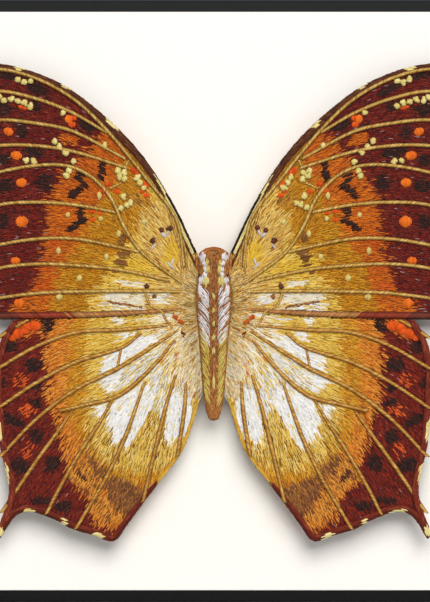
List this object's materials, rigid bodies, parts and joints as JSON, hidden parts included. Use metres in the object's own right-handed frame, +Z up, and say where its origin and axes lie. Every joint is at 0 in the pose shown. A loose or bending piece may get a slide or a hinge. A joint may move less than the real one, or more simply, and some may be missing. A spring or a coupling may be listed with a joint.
{
  "type": "framed embroidered butterfly",
  "caption": "Slim black wall frame with a spread-winged butterfly, thread-painted with raised cord veins, standing in front of an off-white mount board that is flush with the rails.",
  "frame": {"origin": "on the wall face of the top rail, halfway along it", "axes": "+X to the right seen from the front, +Z up, the front of the picture looks along -Y and +Y points into the wall"},
  "size_m": [0.2548, 0.0322, 0.2048],
  "materials": {
    "powder_coat": "fine matte black powder coat",
    "board": "matte off-white mount board",
    "foam": "white foam board",
    "hardboard": "plain brown hardboard",
    "steel": "zinc-plated",
    "forewing_thread": "cotton thread",
    "hindwing_thread": "cotton thread",
    "body_thread": "cotton thread"
  },
  "bodies": {
    "root": {"frame_rail_top": "powder_coat", "frame_rail_bottom": "powder_coat", "frame_rail_left": "powder_coat", "frame_rail_right": "powder_coat", "corner_key_top_left": "steel", "corner_key_top_right": "steel", "corner_key_bottom_left": "steel", "corner_key_bottom_right": "steel", "mount_board": "board", "foam_core": "foam", "back_panel": "hardboard", "spring_clip_top_left": "steel", "spring_clip_top_right": "steel", "spring_clip_right": "steel", "spring_clip_left": "steel", "spring_clip_bottom_left": "steel", "spring_clip_bottom_right": "steel", "sawtooth_hanger": "steel", "hanger_screw_left": "steel", "hanger_screw_right": "steel", "forewing_left": "forewing_thread", "forewing_right": "forewing_thread", "hindwing_left": "hindwing_thread", "hindwing_right": "hindwing_thread", "body": "body_thread", "pad_body": "foam", "pad_forewing_left_1": "foam", "pad_forewing_left_2": "foam", "pad_forewing_right_1": "foam", "pad_forewing_right_2": "foam", "pad_hindwing_left_1": "foam", "pad_hindwing_left_2": "foam", "pad_hindwing_right_1": "foam", "pad_hindwing_right_2": "foam"}
  },
  "joints": []
}
